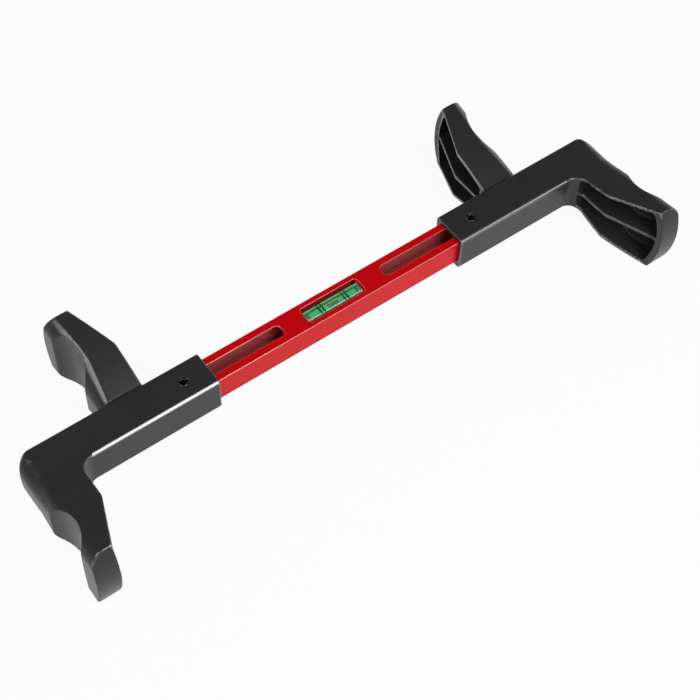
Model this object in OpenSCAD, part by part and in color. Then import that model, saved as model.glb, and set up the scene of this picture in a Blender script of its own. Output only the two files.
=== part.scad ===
// Steering wheel level: a bar with a spirit vial and two sprung ends that press outwards
// against the inside of a steering wheel's rim. X runs along the bar, the near arms point to -Y,
// and Z points up out of the vial's window. The origin is the centre of the bar. Millimetres.

/* [Bar] */
// Outside width and height of the square tube
bar_w = 20; // [17:0.5:21]
// Wall of the tube
bar_wall = 1.6; // [1.2:0.1:2.2]
// Radius of the tube's long edges
bar_edge_r = 0.7; // [0.3:0.1:1.4]
// Length of plain tube beyond each slot, which holds the end plug
bar_end_land = 10.5; // [8:0.5:16]

/* [Slots and window] */
// Width of each slot
slot_w = 9; // [7.5:0.25:11]
// Distance from the bar's centre to a slot's inner end
slot_in = 40; // [36:1:60]
// Corner radius at a slot's ends
slot_r = 3; // [1:0.25:3.5]
// Length of the vial's window
window_l = 44.8; // [40:0.2:48]
// Width of the vial's window
window_w = 12.2; // [10:0.2:14]
// Corner radius of the window
window_r = 1.8; // [0.5:0.1:4]

/* [Vial] */
// Length of the vial block
vial_l = 43; // [36:0.5:44]
// Width of the vial block
vial_w = 8; // [7.5:0.1:9]
// Height of the vial block
vial_h = 9.5; // [8:0.25:11]
// Depth of the vial's top below the bar's top
vial_drop = 1.7; // [1.6:0.1:4]
// Diameter of the barrel bore at its middle
bore_d = 6.4; // [5.5:0.1:6.8]
// Diameter of the barrel bore at its ends
bore_end_d = 5.6; // [4.8:0.1:5.6]
// Length of each bore plug
vial_plug_l = 2.5; // [1.5:0.25:4]
// Distance from the vial's centre to an inner index line
line_x = 8.1; // [6.5:0.1:9]
// Distance between two index lines of a pair
line_pitch = 2.6; // [1.5:0.1:3]
// Width of an index line
line_w = 0.8; // [0.3:0.05:1]
// Depth of the groove that holds an index line
line_t = 0.25; // [0.15:0.05:0.4]
// Length of the bubble
bubble_l = 11; // [8:0.5:13]
// Diameter of the bubble
bubble_d = 2.6; // [2:0.1:3]
// Travel of the bubble to each side
bubble_travel = 12; // [8:0.5:12]
// Length of the cradle beyond each end of the vial
cradle_end = 8; // [4:0.5:12]
// Height of the vial's side that the cradle holds
cradle_grip = 3.5; // [2:0.25:6]

/* [End mouldings] */
// Distance from the bar's centre to a moulding's outer wall
end_x = 226.5; // [215:0.5:235]
// Outside width of the sleeve
sleeve_w = 26.7; // [24:0.1:30]
// Outside height of the sleeve
sleeve_h = 28.2; // [26:0.1:32]
// Distance from the sleeve's mouth to the roll pin
mouth_to_pin = 18.6; // [12:0.2:25]
// Radius of the sleeve's long edges
sleeve_edge_r = 1; // [0.3:0.1:2]
// Plan radius of the sleeve's far outer corner
corner_r = 12; // [6:0.5:12.5]
// Shoulder radius above the sleeve's outer end
end_top_r = 10.5; // [3:0.5:12]
// Shoulder radius below the sleeve's outer end
end_bottom_r = 5; // [2:0.5:9]
// Thickness of the wall that closes the sleeve
end_wall = 10.5; // [10:0.5:13]
// Wall of the hollow arms
arm_wall = 2.4; // [1.6:0.1:3]
// Wall of the hollow arms behind their pads
pad_wall = 5; // [2:0.5:7]
// Distance from the sleeve's side to the hollow of an arm
hollow_start = 4; // [2:0.5:6]
// Thickness of the rib at mid height in the arms
rib_t = 2.6; // [1.2:0.1:3]

/* [Arm heights] */
// Reach of every arm from the bar's axis
arm_reach = 83.5; // [78:0.1:90]
// Radius of the bulged pad at an arm's tip, seen along the bar
tip_bulge_r = 67; // [45:1:100]
// Width that a pad loses on its inner side from its edge to the middle of its height
pad_taper = 0; // [0:0.25:4]
// Length of an arm's inner side that runs straight before the pad's edge
pad_land = 0.8; // [0.4:0.1:2]
// Distance from the bar's axis to the crease where an arm's straight side starts to rise
crease_y = 6.7; // [5:0.1:10]
// Height of the straight side at the pad
straight_tip_h = 26.2; // [22:0.1:30]
// Height of the arched side at the pad
arched_tip_h = 30.1; // [26:0.1:34]
// Radius of the arched side, seen along the bar
arched_r = 240; // [180:5:320]

/* [Near arms] */
// Width of the near arm where it leaves the sleeve
near_root_w = 29.5; // [27:0.1:34]
// Width of the near arm at its bend
near_bend_w = 29; // [25:0.1:31]
// Distance from the bar's axis to the bend
near_bend_y = 43; // [38:0.5:48]
// Width of the near arm at the pad
near_tip_w = 15.3; // [12.5:0.1:17.5]
// Plan radius between the sleeve and the near arm
near_root_r = 8.5; // [3:0.5:10]
// Shoulder radius above the near arm's outer wall
near_top_r = 10.5; // [3:0.5:11]
// Shoulder radius below the near arm's outer wall
near_bottom_r = 5; // [3:0.5:7]
// Distance from the bar's axis to the near rim seat
near_seat_y = 48.8; // [46:0.1:56]
// Depth of the near rim seat, from the outer wall's line at the sleeve
near_seat_depth = 7.6; // [6.5:0.1:9.5]
// Distance that the near arm's outer wall stands out at its rim seat, beyond its line at the sleeve
near_lip_out = 0.9; // [0.3:0.1:2.5]
// Distance from the bar's axis at which the near arm's outer wall has come out all the way
near_flare_y = 24; // [15:1:34]

/* [Far arms] */
// Distance from the near arm's outer wall back to the far arm's outer wall
far_setback = 63.3; // [60:0.1:67]
// Width of the far arm where it leaves the sleeve
far_root_w = 27.4; // [24:0.1:30]
// Width of the far arm at its bend
far_bend_w = 27.8; // [24:0.1:30]
// Distance from the bar's axis to the bend
far_bend_y = 42.5; // [38:0.5:48]
// Width of the far arm at the pad
far_tip_w = 14.5; // [12:0.1:17]
// Plan radius between the sleeve and the far arm
far_root_r = 1; // [0.5:0.25:4]
// Shoulder radius above the far arm's outer wall
far_top_r = 16.5; // [10:0.5:20]
// Plan width of that shoulder, up to its crease with the arched side
far_top_w = 9; // [5:0.5:10]
// Shoulder radius below the far arm's outer wall
far_bottom_r = 7; // [3:0.5:8]
// Distance from the bar's axis to the far rim seat
far_seat_y = 51.7; // [48:0.1:56]
// Depth of the far rim seat, from the outer wall's line at the sleeve
far_seat_depth = 6.1; // [5:0.1:8]
// Distance that the far arm's outer wall stands out at its rim seat, beyond its line at the sleeve
far_lip_out = 2.4; // [0.5:0.1:4]
// Distance from the bar's axis at which the far arm's outer wall has come out all the way
far_flare_y = 12; // [8:1:34]

/* [Rim seats] */
// Radius of a rim seat
seat_r = 25; // [22:0.5:32]
// Plan radius of the lip between its outer wall and the pad
lip_r = 1.5; // [0.5:0.5:6]

/* [Pins and springs] */
// Distance from the bar's centre to a roll pin, with the ends fully out
pin_x = 114; // [105:1:125]
// Outside diameter of a roll pin
pin_d = 6.5; // [5:0.25:7]
// Wall of a roll pin
pin_wall = 1.25; // [0.8:0.05:1.6]
// Gap along a roll pin
pin_gap = 1.3; // [0.6:0.1:2]
// Depth of a roll pin's ends below the sleeve
pin_recess = 0.25; // [0.1:0.05:1]
// Depth of a bar plug in the tube
bar_plug_l = 9; // [5:0.5:9.5]
// Thickness of a bar plug's flange
bar_flange_t = 2; // [1.5:0.25:4]
// Diameter of the bosses that centre a spring
boss_d = 11; // [8:0.25:11.5]
// Length of the bosses that centre a spring
boss_l = 4; // [2:0.5:6]
// Outside diameter of a spring
spring_d = 15; // [14.8:0.1:17]
// Wire diameter of a spring
wire_d = 1.1; // [0.8:0.05:1.2]
// Turns of a spring
spring_turns = 12; // [8:1:12]
// Gap between the closed turns at a spring's ends
turn_gap = 0.5; // [0.45:0.05:0.7]

/* [Clearances] */
// Gap between the bar and the sleeve on each side
slide_gap = 0.3; // [0.2:0.05:0.5]
// Gap between a roll pin and a slot's end at each limit
stop_gap = 0.3; // [0.2:0.05:0.5]
// Gap between a piece and the tube or pocket it is fitted in
fit_gap = 0.1; // [0.05:0.05:0.2]
// Gap between a spring and its seats
spring_gap = 0.2; // [0.1:0.05:0.4]
// Gap round the bubble
bubble_gap = 0.2; // [0.1:0.05:0.3]

/* [Hidden] */
$fn = 128;
past = 1;
far_off = 400;
bar_in_w = bar_w - 2 * bar_wall;
slot_out = pin_x + pin_d / 2 + stop_gap;
bar_end = slot_out + bar_end_land;
mouth_x = pin_x - mouth_to_pin;
cavity_w = bar_w + 2 * slide_gap;
cavity_end = end_x - end_wall;
far_x = end_x - far_setback;
vial_top = bar_w / 2 - vial_drop;
vial_bottom = vial_top - vial_h;
vial_axis = vial_top - vial_w / 2;
fluid_l = vial_l - 2 * vial_plug_l;
barrel_steps = 8;
bubble_z = vial_axis + bore_end_d / 2 - bubble_d / 2;
fitted_w = bar_in_w - 2 * fit_gap;
spring_from = bar_end + bar_flange_t + spring_gap;
spring_to = cavity_end - spring_gap;
spring_r = (spring_d - wire_d) / 2;
wire_sides = 6;
wire_rings = 10;
closed_pitch = wire_d + turn_gap;
least_r = 0.5;
arm_top = sleeve_h / 2;
arm_start = sleeve_w / 2;
tip_half = (arched_tip_h + straight_tip_h) / 2;
tip_z = (arched_tip_h - straight_tip_h) / 2;
pad_y = arm_reach - tip_bulge_r + sqrt(pow(tip_bulge_r, 2) - pow(tip_half, 2));
straight_angle = atan((straight_tip_h - arm_top) / (pad_y - crease_y));
// Centre of the arched side's circle: through the sleeve's edge and the pad's edge
arch_chord = [pad_y - arm_start, arched_tip_h - arm_top];
arch_half = norm(arch_chord) / 2;
arch_drop = sqrt(pow(arched_r, 2) - pow(arch_half, 2));
arch_y = (pad_y + arm_start) / 2 + arch_drop * arch_chord[1] / (2 * arch_half);
arch_z = (arched_tip_h + arm_top) / 2 - arch_drop * arch_chord[0] / (2 * arch_half);

// Shared shapes

// Flat shape carried along X, with its own axes on Y and Z
module along_x(from, to) {
  translate([from, 0, 0]) rotate([90, 0, 90]) linear_extrude(to - from) children();
}

// Rectangle with round corners
module round_rect(l, w, r) {
  square([l - 2 * r, w], center = true);
  square([l, w - 2 * r], center = true);
  for (x = [-1, 1], y = [-1, 1]) translate([x * (l / 2 - r), y * (w / 2 - r)]) circle(r);
}

// Left piece made from the right one
module left() {
  mirror([1, 0, 0]) children();
}

// Bar

module bar_tube() {
  color("crimson") difference() {
    along_x(-bar_end, bar_end) round_rect(bar_w, bar_w, bar_edge_r);
    along_x(-bar_end - past, bar_end + past) square(bar_in_w, center = true);
    translate([0, 0, bar_w / 4]) linear_extrude(bar_w / 2) round_rect(window_l, window_w, window_r);
    for (side = [-1, 1])
      translate([side * (slot_in + slot_out) / 2, 0, -bar_w])
        linear_extrude(2 * bar_w) round_rect(slot_out - slot_in, slot_w, slot_r);
  }
}

module right_bar_plug() {
  color("dimgray") {
    along_x(bar_end - bar_plug_l, bar_end) square(fitted_w, center = true);
    along_x(bar_end, bar_end + bar_flange_t) square(bar_w - 2 * fit_gap, center = true);
    along_x(bar_end + bar_flange_t, bar_end + bar_flange_t + boss_l) circle(d = boss_d);
  }
}

// Spirit vial

// Barrel bore as a solid of revolution on X, smaller by a film all round
module barrel(film) {
  half = fluid_l / 2 - film;
  wall = [
    for (i = [-barrel_steps : barrel_steps])
      let (t = i / barrel_steps)
      [bore_d / 2 - film - t * t * (bore_d - bore_end_d) / 2, t * half]
  ];
  translate([0, 0, vial_axis]) rotate([0, 90, 0])
    rotate_extrude() polygon(concat([[0, -half]], wall, [[0, half]]));
}

module vial_body() {
  color("honeydew", 0.5) difference() {
    translate([-vial_l / 2, -vial_w / 2, vial_bottom]) cube([vial_l, vial_w, vial_h]);
    barrel(0);
    translate([0, 0, vial_axis]) along_x(-vial_l, vial_l) circle(d = bore_end_d);
    vial_lines_shape();
  }
}

module vial_fluid() {
  color("limegreen") difference() {
    barrel(fit_gap / 2);
    bubble_shape(bubble_l + 2 * bubble_travel, bubble_gap);
    translate([0, 0, bubble_z + vial_h / 2])
      cube([bubble_l + 2 * bubble_travel, bubble_d, vial_h], center = true);
  }
}

// Round-ended rod under the top of the bore
module bubble_shape(l, gap) {
  r = bubble_d / 2 + gap;
  straight = (l - bubble_d) / 2;
  translate([0, 0, bubble_z - bubble_gap]) {
    along_x(-straight, straight) circle(r);
    for (side = [-1, 1]) translate([side * straight, 0, 0]) sphere(r);
  }
}

module vial_bubble() {
  color("palegreen") bubble_shape(bubble_l, 0);
}

module vial_lines_shape() {
  for (side = [-1, 1], i = [0, 1])
    translate([side * (line_x + i * line_pitch), 0, vial_top - line_t / 2])
      cube([line_w, vial_w, line_t], center = true);
}

module vial_lines() {
  color("black") vial_lines_shape();
}

module vial_right_plug() {
  color("lightcyan") translate([0, 0, vial_axis])
    along_x(vial_l / 2 - vial_plug_l, vial_l / 2) circle(d = bore_end_d);
}

module vial_cradle() {
  half = vial_l / 2 + cradle_end;
  pocket_l = vial_l + 2 * fit_gap;
  color("darkred") difference() {
    along_x(-half, half) square(fitted_w, center = true);
    translate([-pocket_l / 2, -vial_w / 2 - fit_gap, vial_bottom])
      cube([pocket_l, vial_w + 2 * fit_gap, bar_w]);
    translate([-pocket_l / 2, -bar_w / 2, vial_bottom + cradle_grip]) cube([pocket_l, bar_w, bar_w]);
  }
}

// Springs and pins

// Place of the wire's centre along X after so many turns: a closed turn at each end, open between
function wire_x(turn) =
  let (open_pitch = (spring_to - spring_from - wire_d - 2 * closed_pitch) / (spring_turns - 2))
  spring_from + wire_d / 2 + min(turn, 1) * closed_pitch
  + max(0, min(turn, spring_turns - 1) - 1) * open_pitch
  + max(0, turn - spring_turns + 1) * closed_pitch;

module right_spring() {
  steps = spring_turns * wire_rings;
  points = [
    for (i = [0 : steps], j = [0 : wire_sides - 1])
      let (a = 360 * i / wire_rings, b = 360 * j / wire_sides, r = spring_r + wire_d / 2 * cos(b))
      [wire_x(i / wire_rings) + wire_d / 2 * sin(b), r * cos(a), r * sin(a)]
  ];
  sides = [
    for (i = [0 : steps - 1], j = [0 : wire_sides - 1])
      let (k = (j + 1) % wire_sides, p = i * wire_sides, q = p + wire_sides)
      each [[p + j, q + k, q + j], [p + j, p + k, q + k]]
  ];
  last = steps * wire_sides;
  ends = [
    for (j = [1 : wire_sides - 2]) each [[0, j + 1, j], [last, last + j, last + j + 1]]
  ];
  color("silver") polyhedron(points, concat(sides, ends));
}

module right_roll_pin() {
  half = sleeve_h / 2 - pin_recess;
  color("gray") translate([pin_x, 0, 0]) difference() {
    cylinder(d = pin_d, h = 2 * half, center = true);
    cylinder(d = pin_d - 2 * pin_wall, h = sleeve_h, center = true);
    translate([-pin_d / 2, 0, 0]) cube([pin_d, pin_gap, sleeve_h], center = true);
  }
}

// Arms, drawn as the far arm stands: reaching to +Y with the arched side up and the straight side down

// Arched side: a ring turned about an axis on X. Its shoulder at the outer wall is a radius and a plan width,
// and where the width is less than the radius, the shoulder meets the arched side in a crease
module arched_side(x_out, shoulder, inset) {
  r = shoulder[0];
  rho_mid = arched_r - sqrt(2 * r * shoulder[1] - pow(shoulder[1], 2));
  translate([0, arch_y, arch_z]) rotate([0, 90, 0]) rotate_extrude($fn = 720) intersection() {
    square([arched_r - inset, x_out - inset]);
    union() {
      square([rho_mid, x_out]);
      square([arched_r, x_out - r]);
      translate([rho_mid, x_out - r]) circle(max(r - inset, least_r), $fn = 96);
    }
  }
}

// Straight side: a bar of constant section, tipped down by the rise angle
module straight_side(x_out, r, inset) {
  x = x_out - inset;
  round_r = max(r - inset, least_r);
  translate([0, crease_y, -arm_top]) rotate([-straight_angle, 0, 0])
    translate([0, 0, inset]) rotate([-90, 0, 0]) linear_extrude(far_off, center = true) {
      translate([0, -far_off]) square([x - round_r, far_off]);
      translate([0, -far_off]) square([x, far_off - round_r]);
      translate([x - round_r, -round_r]) circle(round_r);
    }
}

// Plan outline between the bent inner side and the flared outer wall, with a round lip at the pad
module arm_plan(x_out, root_w, root_r, bend_w, bend_y, tip_w, lip_out, flare_y) {
  x_in = x_out - root_w;
  x_pad = x_out - tip_w;
  x_lip = x_out + lip_out;
  polygon([
    [x_in, 0], [x_in, arm_start + root_r], [x_out - bend_w, bend_y],
    [x_pad, pad_y - pad_land], [x_pad + pad_taper, arm_reach],
    [x_lip - lip_r, arm_reach], [x_lip, arm_reach - lip_r], [x_lip, flare_y], [x_out, 0]
  ]);
  translate([x_lip - lip_r, arm_reach - lip_r]) circle(lip_r);
  difference() {
    translate([x_in - root_r, 0]) square([root_r + past, arm_start + root_r]);
    translate([x_in - root_r, arm_start + root_r]) circle(root_r);
  }
}

// Bulged end of the arm, seen along the bar
module tip_limit(inset) {
  along_x(0, far_off) translate([arm_reach - tip_bulge_r, tip_z]) circle(tip_bulge_r - inset, $fn = 360);
}

// Upright round seat for the rim in the outer wall
module seat_cut(seat_x, seat_y, inset) {
  translate([seat_x + seat_r, seat_y, 0])
    cylinder(r = seat_r + inset, h = far_off, center = true, $fn = 256);
}

// Hollow of one side of the arm, open towards the bar's centre
module pocket_side(x_out, root_w, root_r, seat_x, seat_y) {
  difference() {
    intersection() {
      children();
      tip_limit(pad_wall);
    }
    seat_cut(seat_x, seat_y, arm_wall);
    translate([0, -far_off, -far_off]) cube([far_off, far_off + arm_start + hollow_start, 2 * far_off]);
    translate([-past, -far_off, -far_off]) cube([x_out - root_w - root_r, 2 * far_off, 2 * far_off]);
  }
}

module arm(
  x_out, root_w, root_r, bend_w, bend_y, tip_w, arched_shoulder, straight_shoulder,
  seat_y, seat_depth, lip_out, flare_y
) {
  seat_x = x_out - seat_depth;
  x_lip = x_out + lip_out;
  x_hollow = x_out + lip_out / 2;
  difference() {
    intersection() {
      linear_extrude(far_off, center = true)
        arm_plan(x_out, root_w, root_r, bend_w, bend_y, tip_w, lip_out, flare_y);
      tip_limit(0);
      arched_side(x_lip, arched_shoulder, 0);
      straight_side(x_lip, straight_shoulder, 0);
    }
    seat_cut(seat_x, seat_y, 0);
    intersection() {
      pocket_side(x_out, root_w, root_r, seat_x, seat_y) arched_side(x_hollow, arched_shoulder, arm_wall);
      translate([0, 0, rib_t / 2]) linear_extrude(far_off) square(far_off);
    }
    intersection() {
      pocket_side(x_out, root_w, root_r, seat_x, seat_y) straight_side(x_hollow, straight_shoulder, arm_wall);
      translate([0, 0, -far_off - rib_t / 2]) linear_extrude(far_off) square(far_off);
    }
  }
}

// Sleeve with its round corner and the shoulder over its outer end
module sleeve() {
  intersection() {
    along_x(mouth_x, end_x) round_rect(sleeve_w, sleeve_h, sleeve_edge_r);
    linear_extrude(sleeve_h, center = true) {
      translate([mouth_x, -sleeve_w / 2]) square([end_x - corner_r - mouth_x, sleeve_w]);
      translate([mouth_x, -sleeve_w / 2]) square([end_x - mouth_x, sleeve_w - corner_r]);
      translate([end_x - corner_r, sleeve_w / 2 - corner_r]) circle(corner_r);
    }
    rotate([90, 0, 0]) linear_extrude(2 * sleeve_w, center = true) {
      translate([0, -sleeve_h]) square([end_x - end_bottom_r, sleeve_h]);
      square([end_x - end_top_r, sleeve_h]);
      translate([0, end_bottom_r - sleeve_h / 2]) square([end_x, sleeve_h - end_bottom_r - end_top_r]);
      translate([end_x - end_top_r, sleeve_h / 2 - end_top_r]) circle(end_top_r);
      translate([end_x - end_bottom_r, end_bottom_r - sleeve_h / 2]) circle(end_bottom_r);
    }
  }
}

module right_end_arms() {
  color([0.12, 0.12, 0.13]) {
    difference() {
      union() {
        sleeve();
        arm(far_x, far_root_w, far_root_r, far_bend_w, far_bend_y, far_tip_w,
            [far_top_r, far_top_w], far_bottom_r, far_seat_y, far_seat_depth, far_lip_out, far_flare_y);
        rotate([180, 0, 0])
          arm(end_x, near_root_w, near_root_r, near_bend_w, near_bend_y, near_tip_w,
              [near_bottom_r, near_bottom_r], near_top_r,
              near_seat_y, near_seat_depth, near_lip_out, near_flare_y);
      }
      along_x(mouth_x - past, cavity_end) square(cavity_w, center = true);
      translate([pin_x, 0, 0]) cylinder(d = pin_d, h = 2 * sleeve_h, center = true);
    }
    along_x(cavity_end - boss_l, cavity_end) circle(d = boss_d);
  }
}

bar_tube();
vial_cradle();
vial_body();
vial_fluid();
vial_bubble();
vial_lines();
left() vial_right_plug();  // vial_left_plug
vial_right_plug();
left() right_bar_plug();  // left_bar_plug
right_bar_plug();
left() right_spring();  // left_spring
right_spring();
left() right_end_arms();  // left_end_arms
right_end_arms();
left() right_roll_pin();  // left_roll_pin
right_roll_pin();
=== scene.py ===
"""Steering wheel level: a red square tube with a spirit vial, and two black moulded ends that slide on it.

Each solid with round edges is given as a field, the signed distance to its skin in millimetres, below zero
inside. The skin is found on a box of cells and set exactly on the zero of the field. Turned pieces and wire
are profiles carried round an axis or along a path. Everything is worked out as whole arrays.
"""
import math

import bpy
import numpy as np
from mathutils import Matrix


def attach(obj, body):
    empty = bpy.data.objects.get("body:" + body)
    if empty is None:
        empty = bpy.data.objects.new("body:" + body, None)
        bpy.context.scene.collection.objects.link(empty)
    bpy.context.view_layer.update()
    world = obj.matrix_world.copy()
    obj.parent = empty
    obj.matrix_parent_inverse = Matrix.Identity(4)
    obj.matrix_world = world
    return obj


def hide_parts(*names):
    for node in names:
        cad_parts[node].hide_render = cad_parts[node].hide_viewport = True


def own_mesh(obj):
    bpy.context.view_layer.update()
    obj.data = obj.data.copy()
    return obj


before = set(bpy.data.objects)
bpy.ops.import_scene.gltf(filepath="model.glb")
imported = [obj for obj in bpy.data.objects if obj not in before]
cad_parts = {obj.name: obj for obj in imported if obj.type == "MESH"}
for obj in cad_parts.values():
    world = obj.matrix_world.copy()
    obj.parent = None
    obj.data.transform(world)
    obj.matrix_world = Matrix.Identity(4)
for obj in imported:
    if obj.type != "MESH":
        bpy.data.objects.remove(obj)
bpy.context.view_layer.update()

MM = 0.001

# Bar, slots and window, in millimetres
BAR_W = 20.0
BAR_WALL = 1.6
BAR_EDGE_R = 0.5
BAR_END = 128.05
BAR_IN = BAR_W / 2 - BAR_WALL
SLOT_W = 9.0
SLOT_IN = 40.0
SLOT_OUT = 117.55
SLOT_R = 3.0
WINDOW_L = 44.8
WINDOW_W = 12.2
WINDOW_R = 2.5
RIM_R = 0.4

# Vial
VIAL_L = 43.0
VIAL_W = 8.0
VIAL_TOP = 8.3
VIAL_BOTTOM = -1.2
VIAL_AXIS = 4.3
VIAL_EDGE_R = 0.7
VIAL_END_R = 0.4
BORE_D = 6.4
BARREL_END_D = 6.2
PLUG_D = 5.6
VIAL_PLUG_L = 2.5
FILM = 0.05
LIQUID_GAP = 0.3
LIQUID_END = 0.7
SEAL_FADE = (1.0, 1.3)
BUBBLE_L = 11.5
BUBBLE_D = 4.8
BUBBLE_Z = 5.0

# Sleeve
END_X = 227.4
MOUTH_X = 95.4
SLEEVE_W = 26.7
SLEEVE_H = 28.2
SLEEVE_EDGE_R = 1.8
SLEEVE_BEVEL = 1.5
CORNER_R = 9.75
END_TOP_R = 10.0
END_BOTTOM_R = 4.0
SWELL_R = 75.0
SWELL_Z = -1.8
SWELL_LOW = -8.0
SWELL_HIGH = 14.0
SWELL_KEPT = 0.25
CAVITY_W = 20.6
CAVITY_END = 216.0
CAVITY_R = 0.4
BOSS_D = 11.0
BOSS_L = 4.0
BOSS_R = 0.5
BOSS_ROOT = 1.0

# Moulded edges: rims of the pad, hollow and seats, corners in the hollow, and how far shapes are eased
PAD_RIM_R = 0.7
HOLLOW_RIM_R = 0.6
NEAR_SEAT_RIM_R = 0.4
FAR_SEAT_RIM_R = 0.9
HOLLOW_CORNER_R = 1.4
MOUTH_R = 0.5
PIN_HOLE_R = 0.3
SHOULDER_REACH = 7.0
BEND_REACH = 1.2
BEND_STEPS = (-1, -0.5, 0, 0.5, 1)
ROOT_EASE_R = 2.0
BEVEL_EASE_R = 0.4

# Arms
ARM_START = SLEEVE_W / 2
ARM_TOP = SLEEVE_H / 2
ARM_WALL = 2.4
PAD_WALL = 5.0
HOLLOW_START = 4.0
RIB_T = 2.6
ARM_REACH = 83.5
TIP_R = 67.0
CREASE_Y = 6.7
STRAIGHT_TIP = 26.2
ARCHED_TIP = 30.1
ARCHED_R = 240.0
SEAT_R = 25.0
SEAT_DEPTH = 8.5
FAR_ARM_IN = 61.8
FAR_FLARE = 2.4
FLARE_END = 14.0
SWELL_FADE = 8.0
FAR_CREASE_Y = (13.0, 42.0, 52.0, 78.0)
FAR_CREASE_W = (6.5, 11.0, 10.6, 8.0)
CREASE_TURN = 1.5
CREASE_R = 0.4
LIP_R = 1.2
TIP_HALF = (ARCHED_TIP + STRAIGHT_TIP) / 2
TIP_Z = (ARCHED_TIP - STRAIGHT_TIP) / 2
PAD_Y = ARM_REACH - TIP_R + math.sqrt(TIP_R ** 2 - TIP_HALF ** 2)
RISE = math.atan((STRAIGHT_TIP - ARM_TOP) / (PAD_Y - CREASE_Y))
ROOT_STEP = 1.0
ROOT_TOP = ARM_TOP - ROOT_STEP
ARCH_RUN = PAD_Y - ARM_START
ARCH_RISE = ARCHED_TIP - ROOT_TOP
ARCH_HALF = math.hypot(ARCH_RUN, ARCH_RISE) / 2
ARCH_DROP = math.sqrt(ARCHED_R ** 2 - ARCH_HALF ** 2)
ARCH_Y = (PAD_Y + ARM_START) / 2 + ARCH_DROP * ARCH_RISE / (2 * ARCH_HALF)
ARCH_Z = (ARCHED_TIP + ROOT_TOP) / 2 - ARCH_DROP * ARCH_RUN / (2 * ARCH_HALF)

NEAR_ARM = {
    "x_out": END_X, "root_w": 30.6, "root_r": 10.3, "bend_w": 29.9, "bend_y": 43.0, "tip_w": 16.2,
    "arched_r": 4.5, "straight_r": 10.5, "swell": 1.0, "flare": 0.0,
    "seat_y": 48.8, "seat_rim_r": NEAR_SEAT_RIM_R,
}
FAR_ARM = {
    "x_out": END_X - FAR_ARM_IN, "root_w": 30.3, "root_r": 1.0, "bend_w": 30.4, "bend_y": 42.5,
    "tip_w": 16.9, "straight_r": 8.0, "swell": 0.0, "flare": FAR_FLARE,
    "seat_y": 51.7, "seat_rim_r": FAR_SEAT_RIM_R,
}

# Places of the right end where the painted edge highlight is taken off or added: where each fade starts and
# ends, along x, y, z or from the seat
ROOT_X = END_X - NEAR_ARM["root_w"] - NEAR_ARM["root_r"]
NEAR_PAD_X = END_X - NEAR_ARM["tip_w"]
SEAT_FADE = (0.5, 1.4)
FAR_ARM_Y = (ARM_START + 0.5, ARM_START + 1.5)
FAR_WALL_X = (FAR_ARM["x_out"] - 5, FAR_ARM["x_out"] - 3.5)
SHOULDER_X = (FAR_ARM["x_out"] - 15, FAR_ARM["x_out"] - 13)
SHOULDER_Z = (7, 9)
NEAR_TIP_Y = (PAD_Y - 4.5, PAD_Y - 3.5)
PAD_OUTSIDE_X = (END_X - 9, END_X - 6)
PAD_OUTSIDE_Z = (16, 21)
PAD_INSIDE_X = (NEAR_PAD_X + 1, NEAR_PAD_X + 2.5)
PAD_INSIDE_Z = (20, 23)
STEP_MID_Y = -10
STEP_FADE_X = (5.5, 6.5)
STEP_FADE_Y = (3, 3.6)
STEP_FADE_Z = (12.6, 13.2)
ROOT_RIM_FROM = (ARM_START + 1, ARM_START + 2)
ROOT_RIM_TO = (ARM_START + 6.5, ARM_START + 8)
ROOT_RIM_X = (ROOT_X + 10, ROOT_X + 12)
ROOT_RIM_Z = (11, 12.5)
END_CORNER_X = (END_X - 17, END_X - 14)
END_CORNER_Y = (-16, -14)
BEVEL_END_X = ROOT_X + 4
BEVEL_REACH = SLEEVE_BEVEL + 0.3
BEVEL_FACING = 0.5
CREASE_FACING_SIDE = (0.05, 0.25)
CREASE_FACING_UP = (0.3, 0.85)
CREASE_SHINE = 0.28
HIGHLIGHT_OFF_SHARE = 0.9

# Pins and springs
PIN_X = 114.0
PIN_D = 6.5
PIN_WALL = 1.25
PIN_GAP = 1.3
PIN_HALF = 13.85
PIN_END_R = 0.45
PIN_BORE_R = 0.35
PIN_GAP_R = 0.2
SPRING_FROM = 130.25
SPRING_TO = 215.8
SPRING_D = 15.0
WIRE_D = 1.1
SPRING_TURNS = 12
CLOSED_PITCH = 1.6

# Grids on which the skins are found: stretches of from, to and step
BAR_MIDDLE_Y = (-3.6, 3.6, 1.0)
BAR_RIMS_Y = ((3.6, 7.0, 0.36), (7.0, 8.0, 0.5))
BAR_MIDDLE_Z = (-8.0, 8.0, 1.0)
BAR_WALLS = (8.0, 10.6, 0.32)
END_GRID_X = ((94.2, 118.2, 0.8), (118.2, 135.0, 1.2), (135.0, 228.4, 0.82))
END_MIDDLE_Y = (-12.0, 12.0, 0.8)
END_ARMS_Y = (12.0, 85.0, 0.8)
END_GRID_Z = (-31.0, 31.0, 0.8)
PIN_GRID_X = (PIN_X - 3.7, PIN_X + 3.7, 0.22)
PIN_GRID_Y = (-3.7, 3.7, 0.22)
PIN_MIDDLE_Z = (-13.0, 13.0, 1.5)
PIN_ENDS_Z = (13.0, 14.4, 0.2)
VIAL_MIDDLE_X = (-20.7, 20.7, 0.6)
VIAL_ENDS_X = (20.7, 21.9, 0.2)
VIAL_GRID_Y = (-4.4, 4.4, 0.24)
VIAL_GRID_Z = (-1.6, 8.7, 0.24)

# Along the bar the grid is finer about its rims: room on each side, step, and the places it is finer at
BAR_ENDS = ((2.6, 0.42, (BAR_END, WINDOW_L / 2)), (3.8, 0.45, (SLOT_IN, SLOT_OUT)))
BAR_PLAIN_STEP = 1.5
BORE_FACE = BAR_IN + 0.12

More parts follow.
